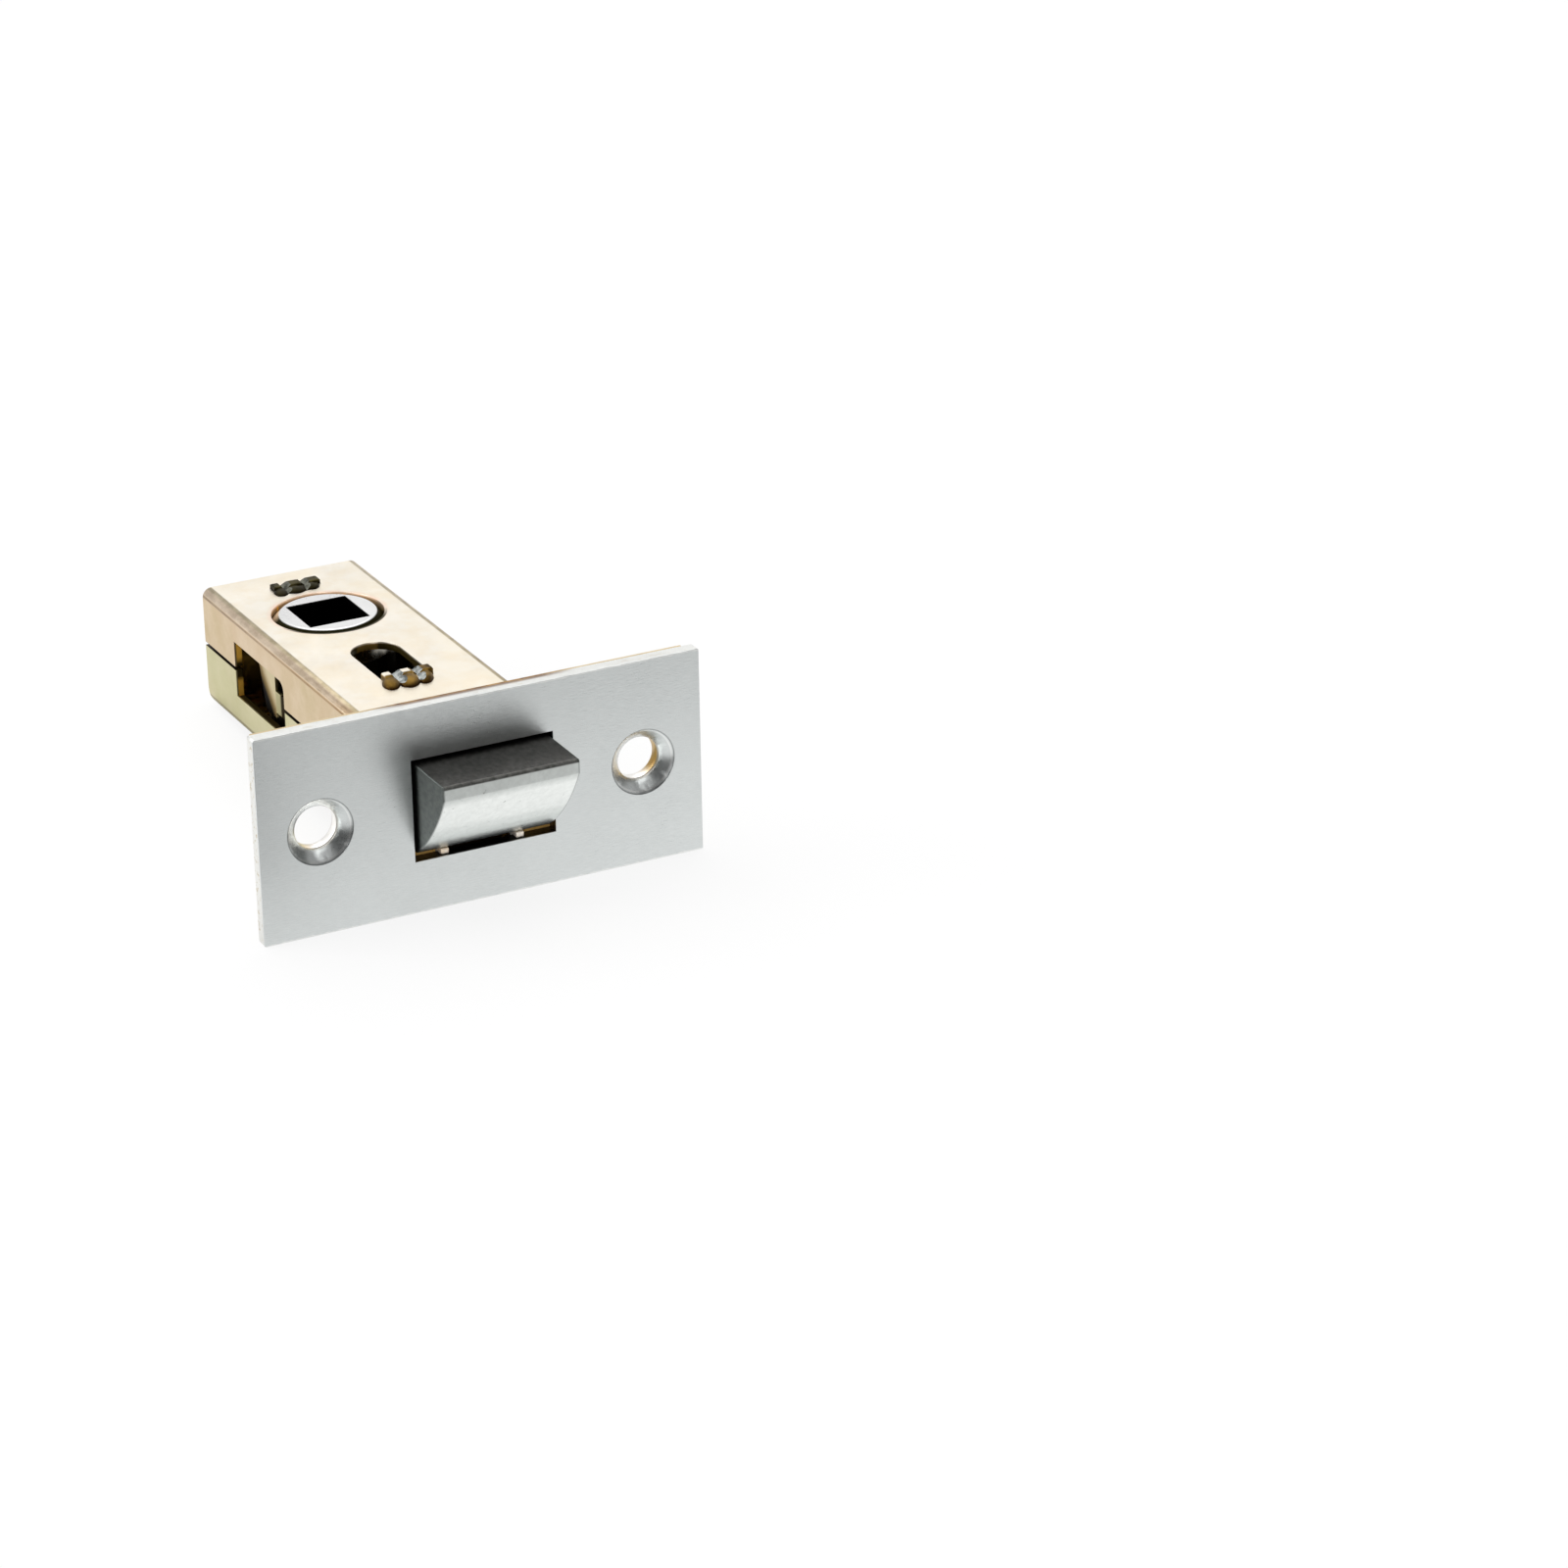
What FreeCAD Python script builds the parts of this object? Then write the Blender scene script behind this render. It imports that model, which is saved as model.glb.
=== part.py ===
import FreeCAD, Part
import math
import os

from FreeCAD import Vector

# Tubular door latch, in millimetres. X runs along the faceplate, +Y from the faceplate
# into the door, Z along the spindle. Y positions below are counted from the faceplate's
# front; export_node moves every piece so that the seat of the forend is at Y = 0.

# Faceplate and forend plate
PLATE_LENGTH = 57.0
PLATE_HEIGHT = 26.0
PLATE_T = 1.8
PLATE_CORNER_R = 0.2
FOREND_LENGTH = 55.4
FOREND_HEIGHT = 25.1
FOREND_T = 1.4
SEAT_Y = PLATE_T + FOREND_T
SCREW_SPACING = 41.6
SCREW_HOLE_R = 2.7
COUNTERSINK_R = 4.15
COUNTERSINK_DEPTH = 1.4
OPENING_HALF_X = 9.1
OPENING_BOTTOM = -6.48
OPENING_TOP = 6.42

# Case of two pressed half shells
CASE_HALF_X = 10.6
CASE_HALF_Z = 7.6
CASE_WALL = 1.0
CASE_BEND_R = 1.2
TAIL_Y = 61.3
TAIL_BEND_R = 2.3
SEAM_Z = 0.3
FLAP_HALF_X = 9.2
LUG_X = 4.9
LUG_WIDTH = 1.4
LUG_RECESS_HALF_X = 5.75

# Side windows, bolt-through slot and posts
WINDOW_Y = (35.4, 51.3)
WINDOW_Z = (-3.4, 3.9)
WINDOW_CORNER_R = 1.3
SLOT_HALF_X = 3.15
SLOT_END_Y = 34.0
FRONT_POST_Y = 21.5
REAR_POST_Y = 56.4
POST_T = 1.5
POST_HALF_X = 5.0
TAB_HALF_X = 3.1
FRONT_TAB_PROUD = 0.7
REAR_TAB_PROUD = 0.5
STAKE_X = 1.4
STAKE_DEPTH = 0.75
FRONT_LUMP_REACH = 1.3
REAR_LUMP_REACH = 0.9
LUMPS = ((-2.2, 0.4), (0.0, 0.7), (2.2, 0.4))

# Follower
FOLLOWER_Y = 45.9
SPINDLE_SQUARE = 8.0
BOSS_R = 6.95
BOSS_TOP = 7.7
BOSS_CHAMFER = 0.95
BOSS_HOLE_R = 7.05
FLANGE_R = 8.0
FLANGE_TOP = 6.35
CAM_HALF_Z = 3.25
CAM_R = 6.35
CAM_FLAT = 5.2
CAM_REAR_CHAMFER = 5.45
WING_R = 7.1
WING_TIP_R = 1.2
WING_NECK = (-1.2, 0.1)
TURN_DEG = 66.0

# Latch bolt and drawbar
BOLT_HALF_X = 8.7
BOLT_BOTTOM = -5.6
BOLT_TOP = 5.95
NOSE_Y = -8.2
NOSE_R = 0.3
NOSE_LOW_Z = 4.2
BEVEL_MIDDLE = (-4.2, -1.4)
BEVEL_ROOT_Y = 0.6
BOLT_BACK_Y = 11.0
SHOULDER_HALF_X = 9.3
SHOULDER_HALF_Z = 3.0
PEG_X = 6.3
PEG_R = 1.2
PEG_HEAD_R = 1.65
PEG_HEAD_T = 0.8
STRAP_T = 0.9
STRAP_HALF_X = 9.45
STRAP_BEND_R = 1.3
WEB_HALF_Z = 5.2
ARM_Z = (-2.2, 0.7)
PAD_HALF_Z = 2.9
PAD_FRONT_Y = 41.0
PAD_BACK_HIGH_Y = 46.1
PAD_BACK_LOW_Y = 44.3
HOOK_INNER_X = 5.85
HOOK_GAP = 0.15

# Bolt spring
SPRING_WIRE_R = 0.5
SPRING_MEAN_R = 3.5
SPRING_TURNS = 4.0
SPRING_SIDES = 6
POCKET_R = 4.35
POCKET_BOTTOM_Y = 3.0


def block(x, y, z):
    """Box between two limits on each axis."""
    return Part.makeBox(x[1] - x[0], y[1] - y[0], z[1] - z[0], Vector(x[0], y[0], z[0]))


def rod_y(radius, x, z, y0, y1):
    return Part.makeCylinder(radius, y1 - y0, Vector(x, y0, z), Vector(0, 1, 0))


def rod_z(radius, x, y, z0, z1):
    return Part.makeCylinder(radius, z1 - z0, Vector(x, y, z0), Vector(0, 0, 1))


def round_edges(shape, direction, radius, keep=None):
    """Fillet the straight edges along one axis, or only those whose middle passes keep."""
    chosen = []
    for edge in shape.Edges:
        if edge.Curve.TypeId != "Part::GeomLine":
            continue
        along = abs(edge.tangentAt(edge.FirstParameter).dot(direction))
        middle = edge.CenterOfMass
        if along > 0.999 and (keep is None or keep(middle)):
            chosen.append(edge)
    return shape.makeFillet(radius, chosen)


def profile_yz(points, x0, x1):
    """Prism across X from a closed outline in Y and Z."""
    corners = [Vector(x0, y, z) for y, z in points]
    outline = Part.makePolygon(corners + corners[:1])
    return Part.Face(outline).extrude(Vector(x1 - x0, 0, 0))


def mirror_z(shape):
    return shape.mirror(Vector(0, 0, 0), Vector(0, 0, 1))


def export_node(name, shape):
    placed = shape.removeSplitter()
    placed.translate(Vector(0, -SEAT_Y, 0))
    placed.exportStep("parts/" + name + ".step")


def make_faceplate():
    plate = block((-PLATE_LENGTH / 2, PLATE_LENGTH / 2), (0, PLATE_T), (-PLATE_HEIGHT / 2, PLATE_HEIGHT / 2))
    plate = round_edges(plate, Vector(0, 1, 0), PLATE_CORNER_R)
    through = (-1, PLATE_T + 1)
    plate = plate.cut(block((-OPENING_HALF_X, OPENING_HALF_X), through, (OPENING_BOTTOM, OPENING_TOP)))
    for x in (-SCREW_SPACING / 2, SCREW_SPACING / 2):
        plate = plate.cut(rod_y(SCREW_HOLE_R, x, 0, through[0], through[1]))
        sink = Part.makeCone(COUNTERSINK_R, SCREW_HOLE_R, COUNTERSINK_DEPTH, Vector(x, 0, 0), Vector(0, 1, 0))
        plate = plate.cut(sink)
    return plate


def make_forend_plate():
    y = (PLATE_T, SEAT_Y)
    plate = block((-FOREND_LENGTH / 2, FOREND_LENGTH / 2), y, (-FOREND_HEIGHT / 2, FOREND_HEIGHT / 2))
    plate = round_edges(plate, Vector(0, 1, 0), PLATE_CORNER_R)
    # The opening has a recess above and below, where the lugs of the shells are staked.
    deep = (PLATE_T - 1, SEAT_Y + 1)
    plate = plate.cut(block((-8.8, 8.8), deep, (-5.9, 6.25)))
    recess_z = CASE_HALF_Z + 0.05
    plate = plate.cut(block((-LUG_RECESS_HALF_X, LUG_RECESS_HALF_X), deep, (-recess_z, recess_z)))
    for x in (-SCREW_SPACING / 2, SCREW_SPACING / 2):
        plate = plate.cut(rod_y(SCREW_HOLE_R, x, 0, deep[0], deep[1]))
    return plate


def seam_cutter():
    """Wedge between the side walls of the shells: shut at the forend, open towards the tail."""
    half_gaps = [(SEAT_Y - 5, 0.03), (15, 0.03), (31, 0.2), (TAIL_Y + 5, 0.22)]
    lower = [(y, SEAM_Z - half) for y, half in half_gaps]
    upper = [(y, SEAM_Z + half) for y, half in reversed(half_gaps)]
    return profile_yz(lower + upper, -20, 20)


def case_prism(inset, y0, y1):
    """Bar with the case's rounded section, set in by the wall thickness for the inside."""
    x = CASE_HALF_X - inset
    z = CASE_HALF_Z - inset
    bar = block((-x, x), (y0, y1), (-z, z))
    return round_edges(bar, Vector(0, 1, 0), CASE_BEND_R - inset)


def case_cuts():
    """Follower hole, bolt-through slot, stake slots and side windows, through both shells."""
    cuts = [rod_z(BOSS_HOLE_R, 0, FOLLOWER_Y, -20, 20)]
    slot_centre = SLOT_END_Y - SLOT_HALF_X
    cuts.append(rod_z(SLOT_HALF_X, 0, slot_centre, -20, 20))
    cuts.append(block((-SLOT_HALF_X, SLOT_HALF_X), (FRONT_POST_Y, slot_centre), (-20, 20)))
    for y in (FRONT_POST_Y, REAR_POST_Y):
        cuts.append(block((-TAB_HALF_X - 0.05, TAB_HALF_X + 0.05), (y - POST_T / 2, y + POST_T / 2), (-20, 20)))
    window = block((-20, 20), WINDOW_Y, WINDOW_Z)
    window = round_edges(window, Vector(1, 0, 0), WINDOW_CORNER_R, lambda m: m.y < WINDOW_Y[0] + 1 and m.z > 0)
    cuts.append(window)
    return cuts


def case_lugs(z):
    """Two lugs on the front edge of a shell that reach through the forend plate."""
    half = LUG_WIDTH / 2
    return [block((x - half, x + half), (PLATE_T + 0.05, SEAT_Y + 1), z) for x in (-LUG_X, LUG_X)]


def make_upper_case():
    shell = case_prism(0, SEAT_Y, TAIL_Y).cut(case_prism(CASE_WALL, SEAT_Y - 1, TAIL_Y + 1))
    shell = shell.cut(block((-20, 20), (0, 80), (-20, SEAM_Z)))
    shell = shell.cut(seam_cutter())
    for cut in case_cuts():
        shell = shell.cut(cut)
    return shell.multiFuse(case_lugs((CASE_HALF_Z - CASE_WALL, CASE_HALF_Z)))


def make_lower_case():
    outer = case_prism(0, SEAT_Y, TAIL_Y)
    outer = outer.cut(block((-20, 20), (0, 80), (SEAM_Z, 20)))
    # The floor turns up into the tail wall, with a rounded corner below.
    corner = block((-20, 20), (SEAT_Y - 1, TAIL_Y), (-CASE_HALF_Z, 20))
    corner = round_edges(corner, Vector(1, 0, 0), TAIL_BEND_R, lambda m: m.y > TAIL_Y - 1 and m.z < 0)
    inner = case_prism(CASE_WALL, SEAT_Y - 1, TAIL_Y - CASE_WALL)
    inner_corner = block((-20, 20), (SEAT_Y - 2, TAIL_Y - CASE_WALL), (-CASE_HALF_Z + CASE_WALL, 20))
    inner_corner = round_edges(inner_corner, Vector(1, 0, 0), TAIL_BEND_R - CASE_WALL,
                               lambda m: m.y > TAIL_Y - 2 and m.z < 0)
    shell = outer.common(corner).cut(inner.common(inner_corner))
    shell = shell.cut(seam_cutter())
    tail = (TAIL_Y - CASE_WALL, TAIL_Y)
    for side in (-1, 1):
        slit = sorted((side * FLAP_HALF_X, side * (FLAP_HALF_X + 0.4)))
        shell = shell.cut(block(slit, (tail[0] - 0.5, tail[1] + 1), (-4.5, 20)))
    for cut in case_cuts():
        shell = shell.cut(cut)
    flap = block((-FLAP_HALF_X, FLAP_HALF_X), tail, (SEAM_Z - 1, CASE_HALF_Z - CASE_WALL - 0.3))
    return shell.multiFuse([flap] + case_lugs((-CASE_HALF_Z, -CASE_HALF_Z + CASE_WALL)))


def make_post(y, proud, reach):
    """Flat post with shoulders inside the shells and a staked tab at each end."""
    inside = CASE_HALF_Z - CASE_WALL
    across = (y - POST_T / 2, y + POST_T / 2)
    top = CASE_HALF_Z + proud
    post = block((-POST_HALF_X, POST_HALF_X), across, (-inside, inside))
    post = post.fuse(block((-TAB_HALF_X, TAB_HALF_X), across, (-top, top)))
    # Each end is peened forward over the shell in three lumps.
    foot = CASE_HALF_Z + 0.02
    tip = across[0] - reach
    outline = [(y, foot), (tip, foot), (tip, foot + 0.15), (tip + 0.6, top - 0.2), (y, top - 0.2)]
    for x, half_width in LUMPS:
        lump = profile_yz(outline, x - half_width, x + half_width)
        post = post.fuse(lump).fuse(mirror_z(lump))
    # Two chisel strokes part the lumps.
    half = STAKE_DEPTH + 0.1
    for x in (-STAKE_X, STAKE_X):
        edge = Vector(x, y - 5, top - STAKE_DEPTH)
        points = [Vector(x - half, y - 5, top + 0.1), Vector(x + half, y - 5, top + 0.1), edge]
        stroke = Part.Face(Part.makePolygon(points + points[:1])).extrude(Vector(0, 10, 0))
        post = post.cut(stroke).cut(mirror_z(stroke))
    return post


def make_latch_bolt():
    start = Vector(-BOLT_HALF_X, NOSE_Y, NOSE_LOW_Z)
    middle = Vector(-BOLT_HALF_X, BEVEL_MIDDLE[0], BEVEL_MIDDLE[1])
    root = Vector(-BOLT_HALF_X, BEVEL_ROOT_Y, BOLT_BOTTOM)
    corners = [root, Vector(-BOLT_HALF_X, BOLT_BACK_Y, BOLT_BOTTOM),
               Vector(-BOLT_HALF_X, BOLT_BACK_Y, BOLT_TOP), Vector(-BOLT_HALF_X, NOSE_Y, BOLT_TOP), start]
    edges = [Part.Arc(start, middle, root).toShape()]
    for a, b in zip(corners, corners[1:]):
        edges.append(Part.makeLine(a, b))
    bolt = Part.Face(Part.Wire(Part.__sortEdges__(edges))).extrude(Vector(2 * BOLT_HALF_X, 0, 0))
    bolt = round_edges(bolt, Vector(1, 0, 0), NOSE_R, lambda m: m.y < NOSE_Y + 0.1 and m.z > BOLT_TOP - 0.1)
    # Shoulders behind the forend keep the bolt in the case.
    shoulder = block((-SHOULDER_HALF_X, SHOULDER_HALF_X), (SEAT_Y + 0.1, BOLT_BACK_Y - 2),
                     (-SHOULDER_HALF_Z, SHOULDER_HALF_Z))
    bolt = bolt.fuse(shoulder)
    bolt = bolt.cut(rod_y(POCKET_R, 0, 0, POCKET_BOTTOM_Y, BOLT_BACK_Y + 1))
    web_back = BOLT_BACK_Y + STRAP_T
    for x in (-PEG_X, PEG_X):
        bolt = bolt.fuse(rod_y(PEG_R, x, 0, BOLT_BACK_Y - 1, web_back + PEG_HEAD_T))
        bolt = bolt.fuse(rod_y(PEG_HEAD_R, x, 0, web_back, web_back + PEG_HEAD_T))
    return bolt


def hook_face_y():
    """Front of the hooks, just behind the wing tips at rest."""
    return FOLLOWER_Y - WING_R * math.sin(math.radians(TURN_DEG / 2)) + WING_TIP_R + HOOK_GAP


def make_drawbar():
    hook_front = hook_face_y()
    hook_back = hook_front + STRAP_T
    outer = block((-STRAP_HALF_X, STRAP_HALF_X), (BOLT_BACK_Y, hook_back), (-WEB_HALF_Z, WEB_HALF_Z))
    outer = round_edges(outer, Vector(0, 0, 1), STRAP_BEND_R)
    inner_x = STRAP_HALF_X - STRAP_T
    inner = block((-inner_x, inner_x), (BOLT_BACK_Y + STRAP_T, hook_front), (-20, 20))
    inner = round_edges(inner, Vector(0, 0, 1), STRAP_BEND_R - STRAP_T)
    strap = outer.cut(inner)
    strap = strap.cut(block((-HOOK_INNER_X, HOOK_INNER_X), (hook_front - 1, hook_back + 1), (-20, 20)))
    # Side view: tall web, slender arms, taller pads that carry the hooks.
    arm_front = BOLT_BACK_Y + 3.0
    front = BOLT_BACK_Y - 1
    back = hook_back + 1
    outline = [(front, WEB_HALF_Z), (arm_front - 1.2, WEB_HALF_Z), (arm_front + 1.2, ARM_Z[1]),
               (PAD_FRONT_Y, ARM_Z[1]), (PAD_FRONT_Y, PAD_HALF_Z), (back, PAD_HALF_Z),
               (back, -PAD_HALF_Z), (PAD_FRONT_Y, -PAD_HALF_Z), (PAD_FRONT_Y, ARM_Z[0]),
               (arm_front + 1.2, ARM_Z[0]), (arm_front - 1.2, -WEB_HALF_Z), (front, -WEB_HALF_Z)]
    strap = strap.common(profile_yz(outline, -20, 20))
    # The pads run on behind the hooks and end in a slanted edge.
    pad_start = hook_front - 1
    pad = [(pad_start, -PAD_HALF_Z), (PAD_BACK_LOW_Y, -PAD_HALF_Z),
           (PAD_BACK_HIGH_Y, PAD_HALF_Z), (pad_start, PAD_HALF_Z)]
    strap = strap.fuse(profile_yz(pad, inner_x, STRAP_HALF_X))
    strap = strap.fuse(profile_yz(pad, -STRAP_HALF_X, -inner_x))
    strap = strap.cut(rod_y(POCKET_R, 0, 0, BOLT_BACK_Y - 1, BOLT_BACK_Y + 2))
    for x in (-PEG_X, PEG_X):
        strap = strap.cut(rod_y(PEG_R, x, 0, BOLT_BACK_Y - 1, BOLT_BACK_Y + 2))
    return strap


def make_follower():
    follower = rod_z(BOSS_R, 0, 0, -BOSS_TOP, BOSS_TOP)
    ends = [edge for edge in follower.Edges if edge.Curve.TypeId == "Part::GeomCircle"]
    follower = follower.makeChamfer(BOSS_CHAMFER, ends)
    follower = follower.fuse(rod_z(FLANGE_R, 0, 0, -FLANGE_TOP, FLANGE_TOP))
    # Between the flanges only the cam is left, with the two wings swept forward.
    follower = follower.cut(rod_z(FLANGE_R + 1, 0, 0, -CAM_HALF_Z, CAM_HALF_Z))
    cam = rod_z(CAM_R, 0, 0, -CAM_HALF_Z, CAM_HALF_Z)
    cam = cam.common(block((-CAM_FLAT, CAM_FLAT), (-CAM_R, CAM_FLAT), (-20, 20)))
    for angle in (45, 135):
        trim = block((CAM_REAR_CHAMFER, CAM_REAR_CHAMFER + 5), (-9, 9), (-20, 20))
        trim.rotate(Vector(0, 0, 0), Vector(0, 0, 1), angle)
        cam = cam.cut(trim)
    wing = block((3, WING_R), WING_NECK, (-CAM_HALF_Z, CAM_HALF_Z))
    wing = wing.fuse(rod_z(WING_TIP_R, WING_R, 0, -CAM_HALF_Z, CAM_HALF_Z))
    wing.rotate(Vector(0, 0, 0), Vector(0, 0, 1), -TURN_DEG / 2)
    other_wing = wing.mirror(Vector(0, 0, 0), Vector(1, 0, 0))
    follower = follower.multiFuse([cam, wing, other_wing])
    half = SPINDLE_SQUARE / 2
    follower = follower.cut(block((-half, half), (-half, half), (-20, 20)))
    follower.translate(Vector(0, FOLLOWER_Y, 0))
    return follower


def make_bolt_spring():
    front = POCKET_BOTTOM_Y + SPRING_WIRE_R
    back = FRONT_POST_Y - POST_T / 2 - SPRING_WIRE_R
    length = back - front
    helix = Part.makeHelix(length / SPRING_TURNS, length, SPRING_MEAN_R)
    # The wire has a six-sided section, which keeps the coil light.
    corners = []
    for i in range(SPRING_SIDES):
        angle = 2 * math.pi * (i + 0.5) / SPRING_SIDES
        across = SPRING_WIRE_R * math.cos(angle)
        corners.append(Vector(SPRING_MEAN_R + across, 0, SPRING_WIRE_R * math.sin(angle)))
    section = Part.makePolygon(corners + corners[:1])
    spring = Part.Wire(helix.Edges).makePipeShell([section], True, True)
    spring.rotate(Vector(0, 0, 0), Vector(1, 0, 0), -90)
    spring.translate(Vector(0, front, 0))
    return spring


os.makedirs("parts", exist_ok=True)
export_node("faceplate", make_faceplate())
export_node("forend_plate", make_forend_plate())
export_node("upper_case", make_upper_case())
export_node("lower_case", make_lower_case())
export_node("front_post", make_post(FRONT_POST_Y, FRONT_TAB_PROUD, FRONT_LUMP_REACH))
export_node("rear_post", make_post(REAR_POST_Y, REAR_TAB_PROUD, REAR_LUMP_REACH))
export_node("latch_bolt", make_latch_bolt())
export_node("drawbar", make_drawbar())
export_node("follower", make_follower())
export_node("bolt_spring", make_bolt_spring())
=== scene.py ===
import math

import bpy
from mathutils import Matrix, Vector


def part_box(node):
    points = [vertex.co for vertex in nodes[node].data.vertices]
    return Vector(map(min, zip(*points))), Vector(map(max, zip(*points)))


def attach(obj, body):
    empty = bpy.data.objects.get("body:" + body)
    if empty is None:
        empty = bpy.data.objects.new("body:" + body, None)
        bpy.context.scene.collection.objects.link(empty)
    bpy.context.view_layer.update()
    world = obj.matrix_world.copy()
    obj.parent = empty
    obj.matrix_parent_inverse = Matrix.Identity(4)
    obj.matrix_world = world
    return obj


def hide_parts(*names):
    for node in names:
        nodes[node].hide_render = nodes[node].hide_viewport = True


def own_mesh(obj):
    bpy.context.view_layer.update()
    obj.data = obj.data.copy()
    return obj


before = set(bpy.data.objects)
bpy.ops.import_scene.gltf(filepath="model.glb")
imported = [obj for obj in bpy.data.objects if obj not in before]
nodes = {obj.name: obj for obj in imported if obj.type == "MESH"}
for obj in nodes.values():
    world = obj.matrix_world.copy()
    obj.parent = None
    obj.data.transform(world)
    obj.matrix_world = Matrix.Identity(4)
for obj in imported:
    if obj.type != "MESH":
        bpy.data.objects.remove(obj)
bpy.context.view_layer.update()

MM = 0.001

# Camera of the photograph, found from the faceplate's corners and the case's edges
CAMERA_AZIMUTH = math.radians(-27.37)
CAMERA_ELEVATION = math.radians(23.35)
CAMERA_ROLL = math.radians(-0.93)
CAMERA_PLACE = Vector((-218.72, -502.23, 235.69)) * MM
CAMERA_LENS = 115.94
CAMERA_SENSOR = 36.0

# Sizes of the latch that the finishes and new pieces follow, in millimetres from the forend's seat
PLATE_FRONT_Y = -3.2
PLATE_HALF_X = 28.5
PLATE_HALF_Z = 13.0
FOREND_FRONT_Y = -1.4
FOREND_HALF_Z = 12.55
CASE_HALF_X = 10.6
CASE_HALF_Z = 7.6
CASE_BEND_R = 1.2
TAIL_BACK_Y = 58.1
TAIL_BEND_R = 2.3
SEAM_Z = 0.3
WINDOW_BACK_Y = 48.1
WINDOW_SILL_Z = -3.4
SLOT_HALF_X = 3.15
SLOT_BACK_Y = 30.8
OPENING_HALF_X = 9.1
OPENING_HALF_Z = 6.48
BOLT_HALF_X = 8.7
BOLT_TOP = 5.95
NOSE_Y = -11.4
SCREW_X = 20.8
SCREW_HOLE_R = 2.7
SINK_R = 4.15
SINK_DEPTH = 1.4
FOLLOWER_Y = 42.7
FOLLOWER_HOLE_R = 7.05
BOSS_CROWN_R = 6.0
BOSS_TOP = 7.7
FLANGE_TOP = 6.35
CAM_HALF_Z = 3.25
SQUARE_HALF = 4.0
FRONT_POST_Y = 18.3
REAR_POST_Y = 53.2
POST_T = 1.5
TAB_HALF_X = 3.1
PAD_FRONT_Y = 37.8
SPRING_FRONT_Y = -0.2
SPRING_BACK_Y = 17.55
SPRING_R = 3.5
WIRE_R = 0.5
FREE_TURNS = 5

# Bump height of the metal grain in metres, and the range of its slow tone
GRAIN_HEIGHT = 0.00005
TONE_LOW = 0.35
TONE_HIGH = 0.65

# Low indices of refraction keep a pale sheen off painted shade and dark plating.
DULL_IOR = 1.05
SHELL_IOR = 1.1

# Even grain, and the grain scale, roughness range and relief of passivated plating
EVEN = (1.0, 1.0, 1.0)
PLATING_SCALE = 1900.0
PLATING_ROUGH = (0.30, 0.44)
PLATING_RELIEF = 0.10


# Node helpers

def tint(red, green, blue):
    """Linear colour from the 0 to 255 values of a screen."""
    return tuple(((value / 255 + 0.055) / 1.055) ** 2.4 for value in (red, green, blue))


def new_material(name):
    material = bpy.data.materials.new(name)
    material.use_nodes = True
    tree = material.node_tree
    tree.nodes.clear()
    output = tree.nodes.new("ShaderNodeOutputMaterial")
    shader = tree.nodes.new("ShaderNodeBsdfPrincipled")
    tree.links.new(shader.outputs["BSDF"], output.inputs["Surface"])
    return material, tree, shader


def add_node(tree, kind, **values):
    node = tree.nodes.new(kind)
    for key, value in values.items():
        setattr(node, key, value)
    return node


def object_coordinates(tree, scale=(1, 1, 1), place=(0, 0, 0)):
    """Object coordinates through a Mapping node."""
    source = add_node(tree, "ShaderNodeTexCoord")
    mapping = add_node(tree, "ShaderNodeMapping")
    mapping.inputs["Scale"].default_value = scale
    mapping.inputs["Location"].default_value = place
    tree.links.new(source.outputs["Object"], mapping.inputs["Vector"])
    return mapping.outputs["Vector"]


def place_mm(tree):
    """X, Y and Z of the surface in millimetres."""
    source = add_node(tree, "ShaderNodeTexCoord")
    scale = add_node(tree, "ShaderNodeVectorMath", operation="SCALE")
    scale.inputs["Scale"].default_value = 1000.0
    tree.links.new(source.outputs["Object"], scale.inputs[0])
    parts = add_node(tree, "ShaderNodeSeparateXYZ")
    tree.links.new(scale.outputs["Vector"], parts.inputs["Vector"])
    return parts.outputs["X"], parts.outputs["Y"], parts.outputs["Z"]


def noise(tree, vector, scale, detail=3.0, roughness=0.5):
    node = add_node(tree, "ShaderNodeTexNoise")
    node.inputs["Scale"].default_value = scale
    node.inputs["Detail"].default_value = detail
    node.inputs["Roughness"].default_value = roughness
    tree.links.new(vector, node.inputs["Vector"])
    return node.outputs["Fac"]


def spread(tree, value, low, high, to_low=0.0, to_high=1.0):
    """Stretches a value from one range to another, held at the ends."""
    node = add_node(tree, "ShaderNodeMapRange")
    node.inputs["From Min"].default_value = low
    node.inputs["From Max"].default_value = high
    node.inputs["To Min"].default_value = to_low
    node.inputs["To Max"].default_value = to_high
    tree.links.new(value, node.inputs["Value"])
    return node.outputs["Result"]


def mix_colour(tree, mask, first, second):
    """Mixes two colours, each a plain value or another node's output."""
    node = add_node(tree, "ShaderNodeMix", data_type="RGBA")
    sockets = [s for s in node.inputs if s.type == "RGBA"]
    for socket, value in zip(sockets, (first, second)):
        if isinstance(value, tuple):
            socket.default_value = (*value, 1.0)
        else:
            tree.links.new(value, socket)
    tree.links.new(mask, node.inputs["Factor"])
    return [s for s in node.outputs if s.type == "RGBA"][0]


def maths(tree, operation, first, second=None):
    node = add_node(tree, "ShaderNodeMath", operation=operation)
    for socket, value in zip(node.inputs, (first, second)):
        if value is None:
            continue
        if isinstance(value, (int, float)):
            socket.default_value = value
        else:
            tree.links.new(value, socket)
    return node.outputs["Value"]


def both(tree, *masks):
    """Product of several masks."""
    result = masks[0]
    for mask in masks[1:]:
        result = maths(tree, "MULTIPLY", result, mask)
    return result


def size_of(tree, value):
    return maths(tree, "ABSOLUTE", value)


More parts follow.
